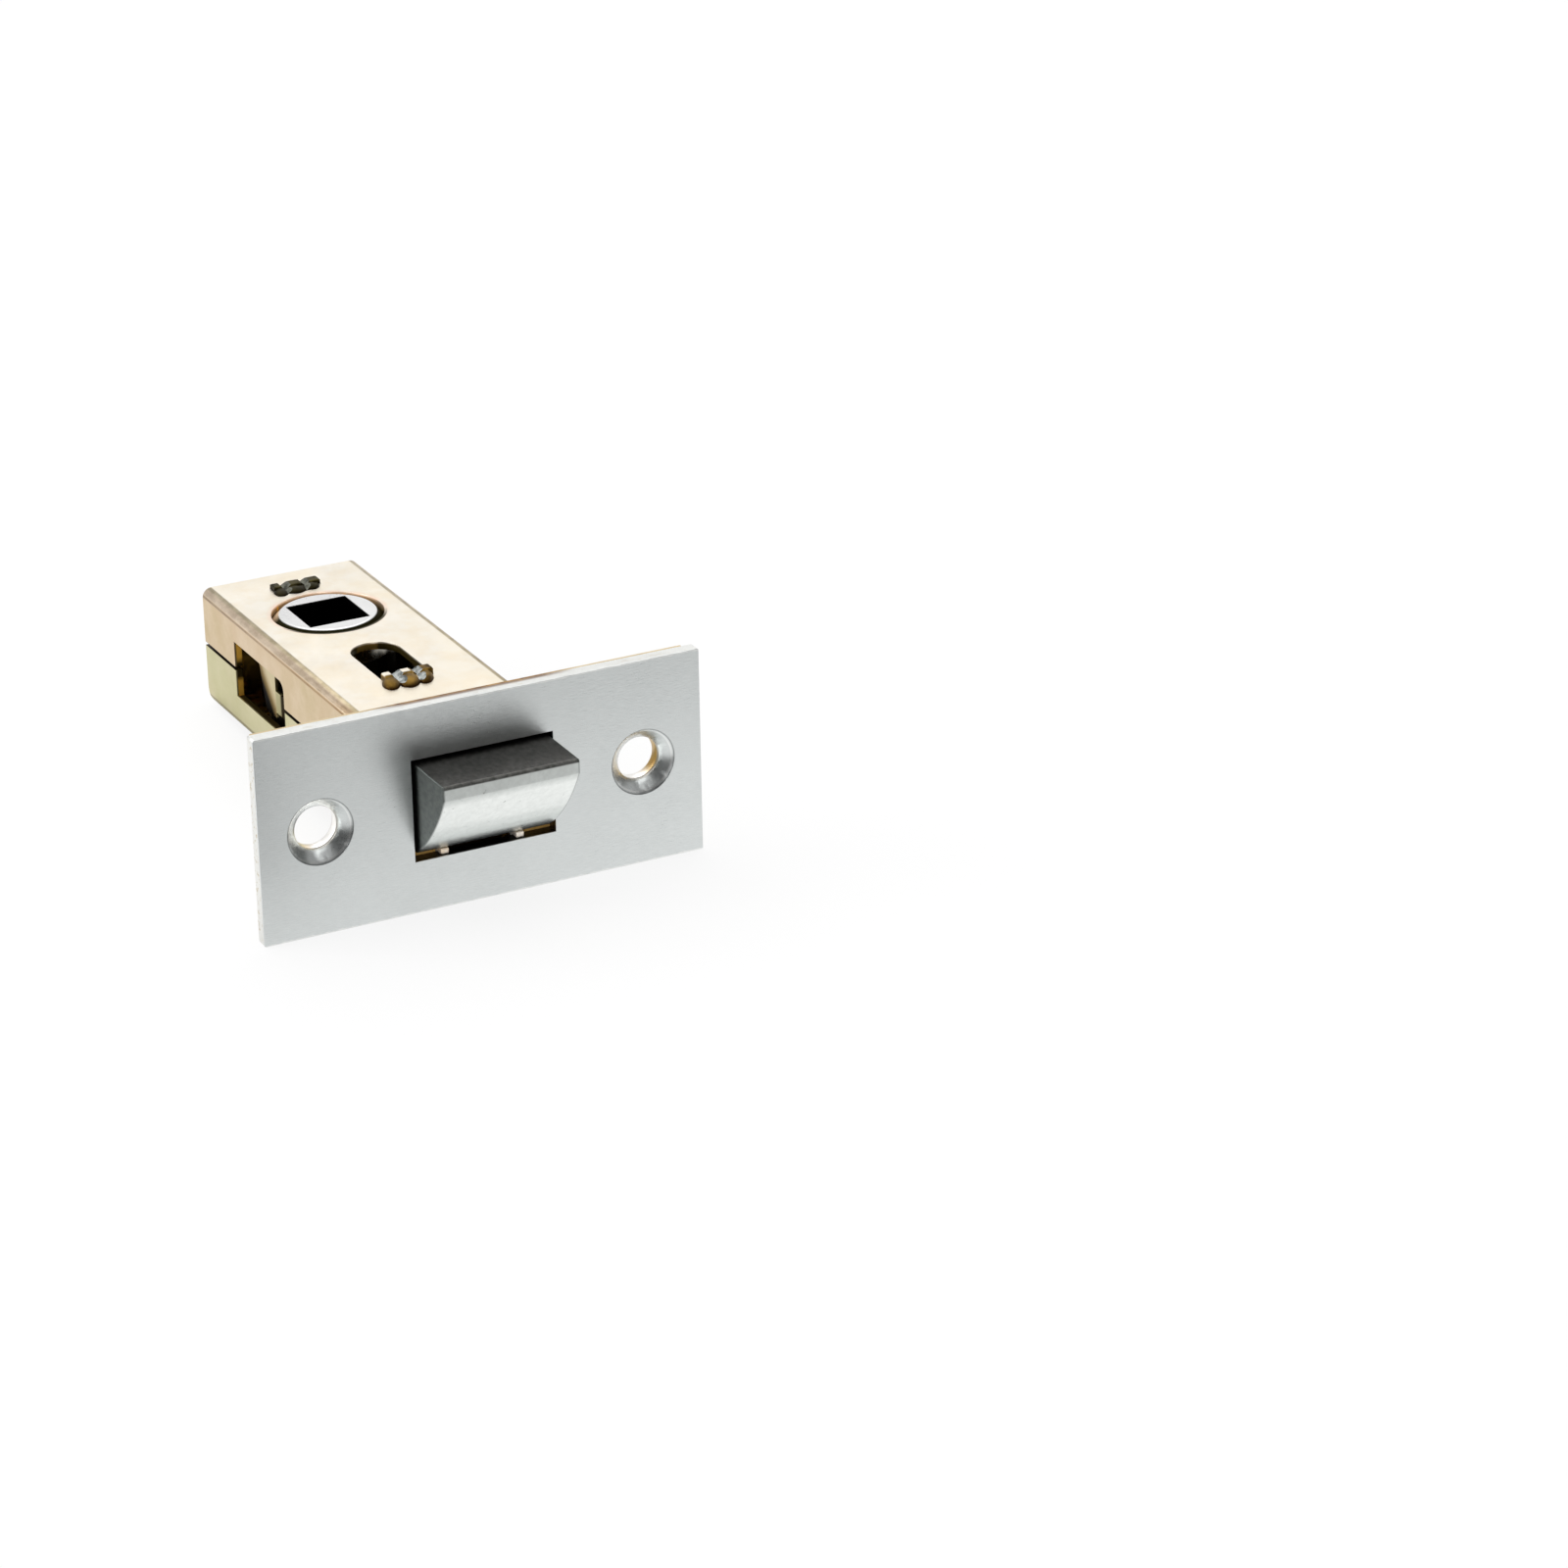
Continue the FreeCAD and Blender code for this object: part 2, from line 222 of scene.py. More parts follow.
def distance(tree, first, second):
    """Distance from an axis, from two coordinates at right angles to it."""
    return maths(tree, "SQRT", maths(tree, "ADD", both(tree, first, first), both(tree, second, second)))


def band(tree, value, rise, fall):
    """Mask that rises over one range of a value and falls over a later one."""
    return both(tree, spread(tree, value, rise[0], rise[1]), spread(tree, value, fall[1], fall[0]))


def blotches(tree, scale, edges, detail=3.0, roughness=0.6, stretch=EVEN, place=(0, 0, 0)):
    """Mask of noise in Object coordinates, sharpened between two edges."""
    vector = object_coordinates(tree, stretch, place)
    return spread(tree, noise(tree, vector, scale, detail, roughness), *edges)


def screw_radius(tree, x, z):
    """Distance from the axis of the nearer screw hole."""
    return distance(tree, maths(tree, "SUBTRACT", size_of(tree, x), SCREW_X), z)


def bump(tree, shader, height, strength):
    node = add_node(tree, "ShaderNodeBump")
    node.inputs["Strength"].default_value = strength
    node.inputs["Distance"].default_value = GRAIN_HEIGHT
    tree.links.new(height, node.inputs["Height"])
    tree.links.new(node.outputs["Normal"], shader.inputs["Normal"])


def metal_grain_group():
    """Fine grain of blasted or cast metal: a height, a roughness and a slow tone."""
    group = bpy.data.node_groups.new("metal_grain", "ShaderNodeTree")
    group.interface.new_socket("Stretch", in_out="INPUT", socket_type="NodeSocketVector")
    group.interface.new_socket("Grain Scale", in_out="INPUT", socket_type="NodeSocketFloat")
    group.interface.new_socket("Roughness Low", in_out="INPUT", socket_type="NodeSocketFloat")
    group.interface.new_socket("Roughness High", in_out="INPUT", socket_type="NodeSocketFloat")
    group.interface.new_socket("Height", in_out="OUTPUT", socket_type="NodeSocketFloat")
    group.interface.new_socket("Roughness", in_out="OUTPUT", socket_type="NodeSocketFloat")
    group.interface.new_socket("Tone", in_out="OUTPUT", socket_type="NodeSocketFloat")
    source = group.nodes.new("NodeGroupInput")
    sink = group.nodes.new("NodeGroupOutput")
    coordinates = group.nodes.new("ShaderNodeTexCoord")
    stretch = group.nodes.new("ShaderNodeVectorMath")
    stretch.operation = "MULTIPLY"
    group.links.new(coordinates.outputs["Object"], stretch.inputs[0])
    group.links.new(source.outputs["Stretch"], stretch.inputs[1])
    fine = group.nodes.new("ShaderNodeTexNoise")
    fine.inputs["Detail"].default_value = 4.0
    fine.inputs["Roughness"].default_value = 0.6
    group.links.new(stretch.outputs["Vector"], fine.inputs["Vector"])
    group.links.new(source.outputs["Grain Scale"], fine.inputs["Scale"])
    slow = noise(group, coordinates.outputs["Object"], 120.0)
    mean = maths(group, "ADD", both(group, fine.outputs["Fac"], 0.55), both(group, slow, 0.45))
    ranged = group.nodes.new("ShaderNodeMapRange")
    ranged.inputs["From Min"].default_value = 0.3
    ranged.inputs["From Max"].default_value = 0.7
    group.links.new(mean, ranged.inputs["Value"])
    group.links.new(source.outputs["Roughness Low"], ranged.inputs["To Min"])
    group.links.new(source.outputs["Roughness High"], ranged.inputs["To Max"])
    group.links.new(fine.outputs["Fac"], sink.inputs["Height"])
    group.links.new(ranged.outputs["Result"], sink.inputs["Roughness"])
    group.links.new(slow, sink.inputs["Tone"])
    return group


def below_corner(tree, first, second, radius):
    """Depth below a rounded corner, from the distances past the two ends of its bend."""
    out_first = maths(tree, "MAXIMUM", first, 0.0)
    out_second = maths(tree, "MAXIMUM", second, 0.0)
    squares = maths(tree, "ADD", both(tree, out_first, out_first), both(tree, out_second, out_second))
    flat = maths(tree, "MINIMUM", maths(tree, "MAXIMUM", first, second), 0.0)
    return maths(tree, "SUBTRACT", radius, maths(tree, "ADD", maths(tree, "SQRT", squares), flat))


def case_depth_group():
    """Millimetres below the outer skin of the case, from its rounded section and its tail."""
    group = bpy.data.node_groups.new("case_depth", "ShaderNodeTree")
    group.interface.new_socket("Depth", in_out="OUTPUT", socket_type="NodeSocketFloat")
    sink = group.nodes.new("NodeGroupOutput")
    x, y, z = place_mm(group)
    over_x = maths(group, "SUBTRACT", size_of(group, x), CASE_HALF_X - CASE_BEND_R)
    over_z = maths(group, "SUBTRACT", size_of(group, z), CASE_HALF_Z - CASE_BEND_R)
    section = below_corner(group, over_x, over_z, CASE_BEND_R)
    behind = maths(group, "SUBTRACT", y, TAIL_BACK_Y - TAIL_BEND_R)
    under = maths(group, "SUBTRACT", maths(group, "MULTIPLY", z, -1.0), CASE_HALF_Z - TAIL_BEND_R)
    tail = below_corner(group, behind, under, TAIL_BEND_R)
    group.links.new(maths(group, "MINIMUM", section, tail), sink.inputs["Depth"])
    return group


METAL_GRAIN = metal_grain_group()
CASE_DEPTH = case_depth_group()


def place_grain(tree, stretch, scale, rough_low, rough_high):
    node = add_node(tree, "ShaderNodeGroup", node_tree=METAL_GRAIN)
    node.inputs["Stretch"].default_value = stretch
    node.inputs["Grain Scale"].default_value = scale
    node.inputs["Roughness Low"].default_value = rough_low
    node.inputs["Roughness High"].default_value = rough_high
    return node


def grain_tone(tree, grain, first, second):
    """Colour that drifts slowly between two tints."""
    return mix_colour(tree, spread(tree, grain.outputs["Tone"], TONE_LOW, TONE_HIGH), first, second)


def finish_metal(tree, shader, colour, grain, bump_strength, metal=1.0, rougher=None, relief=None):
    """Links a colour, the grain's roughness and its bump; metal is a value or a mask.

    The masks rougher and relief scale the roughness and the height of the grain.
    """
    tree.links.new(colour, shader.inputs["Base Color"])
    roughness = grain.outputs["Roughness"]
    if rougher is not None:
        roughness = both(tree, roughness, rougher)
    tree.links.new(roughness, shader.inputs["Roughness"])
    if isinstance(metal, float):
        shader.inputs["Metallic"].default_value = metal
    else:
        tree.links.new(metal, shader.inputs["Metallic"])
    height = grain.outputs["Height"]
    if relief is not None:
        height = both(tree, height, relief)
    bump(tree, shader, height, bump_strength)


# Finishes

def satin_plate_finish():
    """Satin faceplate with a fine grain, painted shade on the sheared walls in the bolt opening, and smooth
    countersinks with a painted highlight ring and a painted dark outline.
    """
    material, tree, shader = new_material("satin_faceplate")
    grain = place_grain(tree, (0.08, 1.0, 1.0), 10000.0, 0.26, 0.37)
    x, y, z = place_mm(tree)
    size_x = size_of(tree, x)
    size_z = size_of(tree, z)
    colour = grain_tone(tree, grain, tint(212, 216, 215), tint(219, 223, 222))
    fleck = spread(tree, grain.outputs["Height"], 0.40, 0.60)
    colour = mix_colour(tree, both(tree, fleck, 0.4), colour, tint(231, 234, 233))
    # Walls of the bolt opening, painted dark as painted shade
    behind = spread(tree, y, PLATE_FRONT_Y + 0.05, PLATE_FRONT_Y + 0.30)
    in_x = spread(tree, size_x, OPENING_HALF_X + 0.15, OPENING_HALF_X + 0.05)
    in_z = spread(tree, size_z, OPENING_HALF_Z + 0.14, OPENING_HALF_Z + 0.04)
    colour = mix_colour(tree, both(tree, behind, in_x, in_z), colour, tint(34, 31, 26))
    # Walls of the screw holes below the countersinks
    radius = screw_radius(tree, x, z)
    sink_floor = PLATE_FRONT_Y + SINK_DEPTH
    below_sink = spread(tree, y, sink_floor - 0.2, sink_floor + 0.1)
    sunk = both(tree, spread(tree, radius, SINK_R + 0.15, SINK_R + 0.05), below_sink)
    colour = mix_colour(tree, sunk, colour, tint(168, 164, 156))
    # The drill left smooth cones, with a painted highlight ring inside their outer edge and a painted dark
    # outline of shade at it.
    below_front = spread(tree, y, PLATE_FRONT_Y + 0.01, PLATE_FRONT_Y + 0.05)
    cone = both(tree, spread(tree, radius, SINK_R + 0.05, SINK_R + 0.01), below_front)
    painted_bright = band(tree, radius, (SINK_R - 0.37, SINK_R - 0.31), (SINK_R - 0.23, SINK_R - 0.17))
    colour = mix_colour(tree, both(tree, painted_bright, 0.6), colour, tint(250, 250, 248))
    # Painted shade: a dark outline at the cone's outer edge.
    dark = band(tree, radius, (SINK_R - 0.12, SINK_R - 0.07), (SINK_R + 0.01, SINK_R + 0.07))
    colour = mix_colour(tree, both(tree, dark, 0.55), colour, tint(58, 60, 61))
    # Sheared rim of the plate, paler and rough
    rim_x = spread(tree, size_x, PLATE_HALF_X - 0.2, PLATE_HALF_X - 0.02)
    rim_z = spread(tree, size_z, PLATE_HALF_Z - 0.2, PLATE_HALF_Z - 0.02)
    off_front = spread(tree, y, PLATE_FRONT_Y + 0.1, PLATE_FRONT_Y + 0.35)
    rim = both(tree, maths(tree, "MAXIMUM", rim_x, rim_z), off_front)
    speck = blotches(tree, 700.0, (0.54, 0.66), 4.0, 0.65, (1, 2, 2))
    rim_colour = mix_colour(tree, speck, tint(238, 238, 234), tint(208, 196, 172))
    colour = mix_colour(tree, rim, colour, rim_colour)
    # Its upper and lower edges are torn, and brown next to the forend.
    torn = maths(tree, "MULTIPLY", noise(tree, object_coordinates(tree), 1100.0, 3.0, 0.6), 0.5)
    edge = spread(tree, maths(tree, "ADD", size_z, torn), PLATE_HALF_Z + 0.02, PLATE_HALF_Z + 0.10)
    colour = mix_colour(tree, both(tree, edge, 0.7), colour, tint(240, 241, 238))
    at_forend = spread(tree, y, FOREND_FRONT_Y - 0.8, FOREND_FRONT_Y - 0.3)
    joint = both(tree, rim_z, at_forend, spread(tree, size_x, 13.0, 9.0))
    joint_brown = mix_colour(tree, speck, tint(120, 84, 56), tint(176, 138, 88))
    colour = mix_colour(tree, both(tree, joint, 0.85), colour, joint_brown)
    cone_roughness = spread(tree, cone, 0.0, 1.0, 1.0, 0.95)
    cone_relief = spread(tree, cone, 0.0, 1.0, 1.0, 0.10)
    finish_metal(tree, shader, colour, grain, 0.50, 1.0, cone_roughness, cone_relief)
    return material


def shell_tints_with_painted_light(tree, upper, clouds, patches):
    """Blotched colours of the upright walls and of the level face of one shell; the level face is painted
    paler as painted light from above.
    """
    if upper:
        side = mix_colour(tree, clouds, tint(214, 190, 156), tint(206, 185, 145))
        side = mix_colour(tree, both(tree, patches, 0.5), side, tint(226, 206, 178))
        face = mix_colour(tree, clouds, tint(252, 246, 234), tint(249, 240, 222))
        face = mix_colour(tree, both(tree, patches, 0.6), face, tint(245, 232, 208))
    else:
        side = mix_colour(tree, clouds, tint(208, 202, 160), tint(198, 192, 146))
        side = mix_colour(tree, both(tree, patches, 0.5), side, tint(216, 206, 172))
        face = mix_colour(tree, clouds, tint(226, 216, 180), tint(216, 204, 164))
    return side, face


def shaded_bend_tint(tree, size_x, y):
    """Plating of the upper bends, painted in tones between the face and the side as painted light and shade:
    mottled, browner towards the plate, greyer on top as painted shade.
    """
    mottle = blotches(tree, 900.0, (0.36, 0.64), stretch=(1, 0.5, 1))
    rear_tint = mix_colour(tree, mottle, tint(190, 170, 146), tint(218, 200, 177))
    front_tint = mix_colour(tree, mottle, tint(158, 140, 118), tint(184, 167, 146))
    bend_side_tint = mix_colour(tree, spread(tree, y, 36.0, 22.0), rear_tint, front_tint)
    near_plate = both(tree, spread(tree, y, 18.0, 6.0), 0.7)
    bend_side_tint = mix_colour(tree, near_plate, bend_side_tint, tint(148, 116, 76))
    top_shade = mix_colour(tree, mottle, tint(160, 146, 118), tint(194, 180, 150))
    top_shade = mix_colour(tree, near_plate, top_shade, tint(137, 127, 100))
    on_top = spread(tree, size_x, CASE_HALF_X - 0.55, CASE_HALF_X - 0.80)
    return mix_colour(tree, on_top, bend_side_tint, top_shade)


def passivated_shell(name, upper):
    """Yellow-passivated zinc plating of one shell: tinted by face with painted light, blotched, golden and
    dark inside, with painted shade at its sills, slot, window edges and hole.
    """
    material, tree, shader = new_material(name)
    grain = place_grain(tree, EVEN, PLATING_SCALE, *PLATING_ROUGH)
    depth = add_node(tree, "ShaderNodeGroup", node_tree=CASE_DEPTH).outputs["Depth"]
    x, y, z = place_mm(tree)
    size_x = size_of(tree, x)
    size_z = size_of(tree, z)
    clouds = blotches(tree, 110.0, (0.38, 0.64), 4.0)
    patches = blotches(tree, 260.0, (0.44, 0.66), 4.0, place=(0.3, 0.1, 0.2))
    level = spread(tree, size_z, CASE_HALF_Z - 0.9, CASE_HALF_Z - 0.1)
    side, face = shell_tints_with_painted_light(tree, upper, clouds, patches)
    # The level face is painted paler than the walls as painted light from above.
    colour = mix_colour(tree, level, side, face)
    # The long bends are painted greyer, between the face and the side, as painted light and shade, with a
    # brown line below.
    bend_x = spread(tree, size_x, CASE_HALF_X - 1.28, CASE_HALF_X - 1.10)
    bend_z = spread(tree, size_z, CASE_HALF_Z - 0.80, CASE_HALF_Z - 0.62)
    bend_tint = shaded_bend_tint(tree, size_x, y) if upper else tint(184, 177, 142)
    colour = mix_colour(tree, both(tree, bend_x, bend_z), colour, bend_tint)
    bend_lower_line = band(tree, size_z, (CASE_HALF_Z - 1.18, CASE_HALF_Z - 1.06),
                  (CASE_HALF_Z - 0.88, CASE_HALF_Z - 0.76))
    bend_lower_line = both(tree, bend_lower_line, spread(tree, patches, 0.0, 0.5, 0.7, 0.95))
    colour = mix_colour(tree, bend_lower_line, colour, tint(160, 129, 96) if upper else tint(168, 152, 104))
    # Cut edges are golden brown and the inside is dark with golden patches.
    cut = spread(tree, depth, 0.12, 0.30)
    radius = distance(tree, x, maths(tree, "SUBTRACT", y, FOLLOWER_Y))
    at_hole = spread(tree, radius, FOLLOWER_HOLE_R + 0.25, FOLLOWER_HOLE_R + 0.15)
    edge = mix_colour(tree, at_hole, tint(140, 114, 56), tint(178, 152, 116))
    colour = mix_colour(tree, cut, colour, edge)
    gold = blotches(tree, 330.0, (0.44, 0.58), 2.0, 0.5)
    inside = mix_colour(tree, gold, tint(120, 92, 40), tint(226, 180, 84))
    colour = mix_colour(tree, spread(tree, depth, 0.75, 0.98), colour, inside)
    # Facing edges of the open seam are dark.
    from_seam = size_of(tree, maths(tree, "SUBTRACT", z, SEAM_Z))
    seam = both(tree, spread(tree, from_seam, 0.28, 0.24), spread(tree, y, 25.6, 27.0))
    colour = mix_colour(tree, seam, colour, tint(44, 33, 14))
    # The sill of each side window and the walls of the oblong hole are painted dark as painted shade.
    at_sill = spread(tree, z, WINDOW_SILL_Z + 0.4, WINDOW_SILL_Z + 0.2)
    sill_shade = both(tree, cut, at_sill, spread(tree, size_x, CASE_HALF_X - 2.0, CASE_HALF_X - 1.6))
    colour = mix_colour(tree, sill_shade, colour, tint(52, 41, 18))
    slot_x = spread(tree, size_x, SLOT_HALF_X + 0.35, SLOT_HALF_X + 0.15)
    slot_y = spread(tree, y, SLOT_BACK_Y - 0.2, SLOT_BACK_Y - 0.4)
    colour = mix_colour(tree, both(tree, slot_x, slot_y, cut), colour, tint(62, 52, 22))
    # The rear edge of each side window is painted bright gold above and below the seam as painted light, and
    # dark between as painted shade.
    at_back = band(tree, y, (WINDOW_BACK_Y - 0.20, WINDOW_BACK_Y - 0.05),
                   (WINDOW_BACK_Y + 0.05, WINDOW_BACK_Y + 0.20))
    lit_gold_low = both(tree, spread(tree, z, -0.9, -1.5), 0.8)
    lit_gold_bands = maths(tree, "MAXIMUM", spread(tree, z, 0.9, 1.7), lit_gold_low)
    lit_gold_bands = both(tree, lit_gold_bands, spread(tree, size_x, CASE_HALF_X - 0.15, CASE_HALF_X - 0.30))
    back_light_and_shade = mix_colour(tree, lit_gold_bands, tint(50, 40, 17), tint(248, 192, 80))
    colour = mix_colour(tree, both(tree, cut, at_back), colour, back_light_and_shade)
    # A burnished edge runs round the follower's hole, and painted shade darkens the gap along its front.
    skin = spread(tree, depth, 0.3, 0.15)
    near_hole = spread(tree, radius, FOLLOWER_HOLE_R + 0.70, FOLLOWER_HOLE_R + 0.10)
    lip = both(tree, level, near_hole, spread(tree, patches, 0.0, 0.6, 0.5, 1.0), skin)
    colour = mix_colour(tree, lip, colour, tint(250, 226, 206))
    gap_ring = spread(tree, radius, FOLLOWER_HOLE_R + 0.37, FOLLOWER_HOLE_R + 0.27)
    hole_front_shade = both(tree, level, gap_ring, spread(tree, y, FOLLOWER_Y - 2.0, FOLLOWER_Y - 4.5), skin)
    colour = mix_colour(tree, hole_front_shade, colour, tint(58, 53, 17))
    plating = spread(tree, depth, 0.12, 0.35, 1.0, 0.35)
    shader.inputs["IOR"].default_value = SHELL_IOR
    finish_metal(tree, shader, colour, grain, PLATING_RELIEF, plating)
    return material


def forend_finish():
    """Passivated forend plate, golden on the lip under the bolt, with painted shade in the recess for the
    lugs and painted light on the walls of its screw holes.
    """
    material, tree, shader = new_material("passivated_forend")
    grain = place_grain(tree, EVEN, PLATING_SCALE, *PLATING_ROUGH)
    x, y, z = place_mm(tree)
    size_x = size_of(tree, x)
    size_z = size_of(tree, z)
    clouds = blotches(tree, 110.0, (0.38, 0.64), 4.0)
    colour = mix_colour(tree, clouds, tint(226, 208, 172), tint(210, 186, 140))
    # Painted shade darkens the recess for the lugs around the golden lip.
    in_x = spread(tree, size_x, OPENING_HALF_X + 0.3, OPENING_HALF_X + 0.1)
    in_z = spread(tree, size_z, CASE_HALF_Z + 0.2, CASE_HALF_Z)
    front = spread(tree, y, FOREND_FRONT_Y + 1.2, FOREND_FRONT_Y + 0.9)
    opening = both(tree, in_x, in_z, front)
    lip = band(tree, z, (-6.6, -6.45), (-5.85, -5.7))
    shade = mix_colour(tree, lip, tint(38, 30, 16), tint(214, 170, 96))
    colour = mix_colour(tree, opening, colour, shade)
    # Walls of the screw holes are painted pale as painted light, golden at the right of the right hole, and
    # the upper and lower rims are brown over the case's width.
    radius = screw_radius(tree, x, z)
    golden = spread(tree, x, SCREW_X + 0.6, SCREW_X + 2.0)
    painted_light_wall = mix_colour(tree, golden, tint(252, 250, 246), tint(206, 176, 120))
    at_wall = spread(tree, radius, SCREW_HOLE_R + 0.25, SCREW_HOLE_R + 0.15)
    colour = mix_colour(tree, at_wall, colour, painted_light_wall)
    stain = blotches(tree, 420.0, (0.36, 0.62))
    brown = mix_colour(tree, stain, tint(96, 62, 40), tint(190, 152, 96))
    rim_z = spread(tree, size_z, FOREND_HALF_Z - 0.25, FOREND_HALF_Z - 0.05)
    rim = both(tree, rim_z, spread(tree, size_x, 14.0, 9.0))
    colour = mix_colour(tree, rim, colour, brown)
    plating = spread(tree, opening, 0.0, 1.0, 1.0, 0.3)
    finish_metal(tree, shader, colour, grain, PLATING_RELIEF, plating)
    return material


def strap_finish():
    """Passivated strap of the drawbar: cream arms, tan pads that darken towards the hooks as painted shade.
    """
    material, tree, shader = new_material("passivated_strap")
    grain = place_grain(tree, EVEN, PLATING_SCALE, 0.32, 0.46)
    x, y, z = place_mm(tree)
    # Painted shade darkens the pads towards the hooks and downwards, the arms inside the case and the inner
    # faces.
    shade_fade = maths(tree, "SUBTRACT", maths(tree, "SUBTRACT", y, PAD_FRONT_Y), z)
    pad = mix_colour(tree, spread(tree, shade_fade, 0.2, 2.2), tint(206, 192, 152), tint(160, 136, 92))
    pad = mix_colour(tree, spread(tree, shade_fade, 1.4, 3.8), pad, tint(10, 8, 4))
    arm = spread(tree, y, PAD_FRONT_Y + 0.05, PAD_FRONT_Y - 0.05)
    cream = grain_tone(tree, grain, tint(178, 170, 126), tint(160, 150, 104))
    in_case_shadow = spread(tree, y, PAD_FRONT_Y - 1.3, PAD_FRONT_Y - 1.8)
    cream = mix_colour(tree, in_case_shadow, cream, tint(40, 31, 13))
    colour = mix_colour(tree, arm, pad, cream)
    inner_shade = spread(tree, size_of(tree, x), 9.2, 9.0)
    colour = mix_colour(tree, inner_shade, colour, tint(60, 46, 20))
    # The painted shade is kept dull, not metal, so it takes no pale sheen.
    shaded_dull = maths(tree, "MAXIMUM", spread(tree, shade_fade, 0.8, 2.4), in_case_shadow)
    shader.inputs["IOR"].default_value = DULL_IOR
    finish_metal(tree, shader, colour, grain, PLATING_RELIEF, spread(tree, shaded_dull, 0.0, 1.0, 1.0, 0.0))
    return material


def post_finish(name, dark, light, rough_low, rough_high, metal=1.0, highlight_from=None, foot=None, patch=520.0):
    """Passivated or freshly struck steel of the posts, with a painted highlight as a bright crown behind a
    place and painted shade as a dark foot.
    """
    material, tree, shader = new_material(name)
    grain = place_grain(tree, EVEN, 1700.0, rough_low, rough_high)
    x, y, z = place_mm(tree)
    size_z = size_of(tree, z)
    colour = mix_colour(tree, blotches(tree, patch, (0.38, 0.62), 4.0), dark, light)
    # The dark foot is painted shade and the bright crown a painted highlight.
    if foot is not None:
        foot_shade = spread(tree, size_z, CASE_HALF_Z + 0.70, CASE_HALF_Z + 0.15)
        colour = mix_colour(tree, foot_shade, colour, foot)
    if highlight_from is not None:
        behind = spread(tree, y, highlight_from, highlight_from + 0.3)
        high = spread(tree, size_z, CASE_HALF_Z + 0.55, CASE_HALF_Z + 0.75)
        crown_highlight = both(tree, behind, high, spread(tree, x, 0.9, 0.4))
        colour = mix_colour(tree, crown_highlight, colour, tint(240, 232, 216))
    shader.inputs["IOR"].default_value = DULL_IOR
    finish_metal(tree, shader, colour, grain, 0.14, metal)
    return material


def bolt_finish():
    """Mottled cast zinc of the bolt, with painted shade on its top, nose and ends and a painted reflection on
    its bevel.
    """
    material, tree, shader = new_material("cast_zinc_bolt")
    grain = place_grain(tree, (1.0, 0.5, 1.0), 2400.0, 0.26, 0.38)
    x, y, z = place_mm(tree)
    cast = blotches(tree, 1500.0, (0.36, 0.64), 4.0, 0.65, (1, 0.6, 1))
    colour = grain_tone(tree, grain, tint(196, 200, 197), tint(207, 211, 208))
    colour = mix_colour(tree, both(tree, cast, 0.4), colour, tint(178, 182, 179))
    # The bevel is painted near white as a painted reflection of the pale floor.
    bevel = spread(tree, z, 4.4, 3.0)
    painted_bright = mix_colour(tree, both(tree, cast, 0.5), tint(247, 250, 247), tint(226, 229, 226))
    colour = mix_colour(tree, bevel, colour, painted_bright)
    # The top is painted dark grey as painted shade.
    top = spread(tree, z, BOLT_TOP - 0.15, BOLT_TOP - 0.03)
    top_shade = mix_colour(tree, cast, tint(109, 108, 105), tint(139, 137, 134))
    colour = mix_colour(tree, top, colour, top_shade)
    # The rounded edge of the nose and the two ends are painted darker as painted shade.
    nose_z = spread(tree, z, BOLT_TOP - 0.45, BOLT_TOP - 0.29)
    nose = both(tree, nose_z, spread(tree, y, NOSE_Y + 0.45, NOSE_Y + 0.30))
    nose_shade = mix_colour(tree, cast, tint(100, 100, 97), tint(134, 134, 130))
    colour = mix_colour(tree, nose, colour, nose_shade)
    pits = blotches(tree, 1300.0, (0.70, 0.76), 2.0, 0.5)
    colour = mix_colour(tree, both(tree, pits, 0.5), colour, tint(96, 96, 92))
    end = spread(tree, size_of(tree, x), BOLT_HALF_X - 0.26, BOLT_HALF_X - 0.03)
    end_shade = mix_colour(tree, cast, tint(116, 121, 119), tint(138, 143, 140))
    colour = mix_colour(tree, end, colour, end_shade)
    nose_roughness = spread(tree, nose, 0.0, 1.0, 1.0, 2.7)
    finish_metal(tree, shader, colour, grain, 0.16, 1.0, nose_roughness)
    return material


